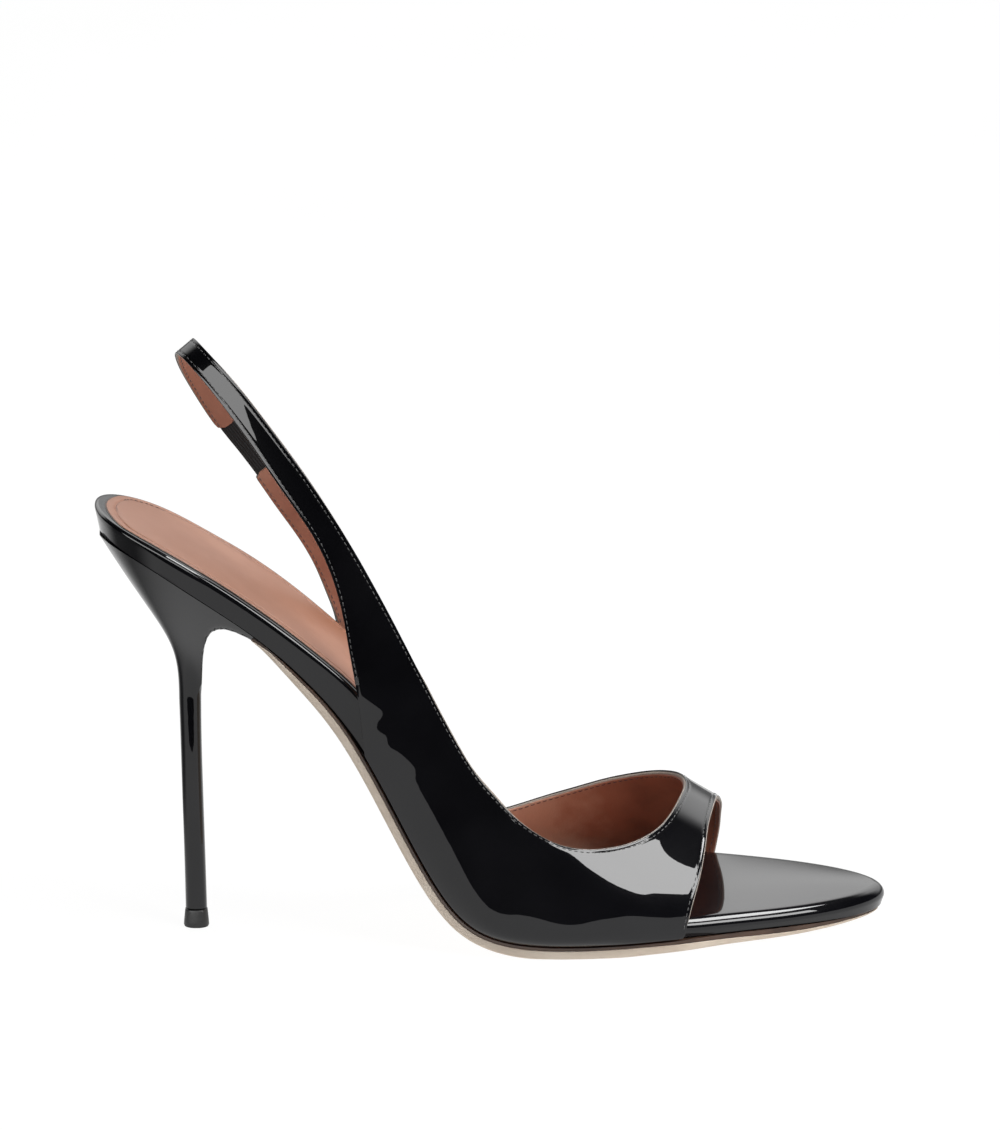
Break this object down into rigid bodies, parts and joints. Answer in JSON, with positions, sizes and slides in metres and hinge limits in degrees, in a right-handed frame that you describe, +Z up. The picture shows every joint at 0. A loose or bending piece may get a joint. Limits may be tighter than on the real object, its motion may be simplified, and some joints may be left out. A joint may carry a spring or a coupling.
{
  "type": "slingback heel",
  "caption": "Open-toe slingback stiletto sandal in black patent leather with a tan lining, a slim high heel and an elastic let into the heel strap.",
  "frame": {"origin": "on the floor, under the middle of the shoe's box", "axes": "+X from heel to toe, +Y towards the inner (medial) side, +Z up"},
  "size_m": [0.205, 0.0808, 0.1595],
  "materials": {
    "patent_leather": "black patent, mirror gloss",
    "tan_leather": "smooth tan lining leather, soft sheen",
    "sole_leather": "pale sole leather, matt, with a dark stained line along its upper edge",
    "elastic_tape": "black ribbed elastic, matt",
    "tip_plastic": "black hard plastic, half matt"
  },
  "bodies": {
    "root": {"outsole": "sole_leather", "footbed_rim": "patent_leather", "sock": "tan_leather", "heel": "patent_leather", "heel_tip": "tip_plastic", "upper": "patent_leather", "elastic": "elastic_tape"}
  },
  "joints": []
}
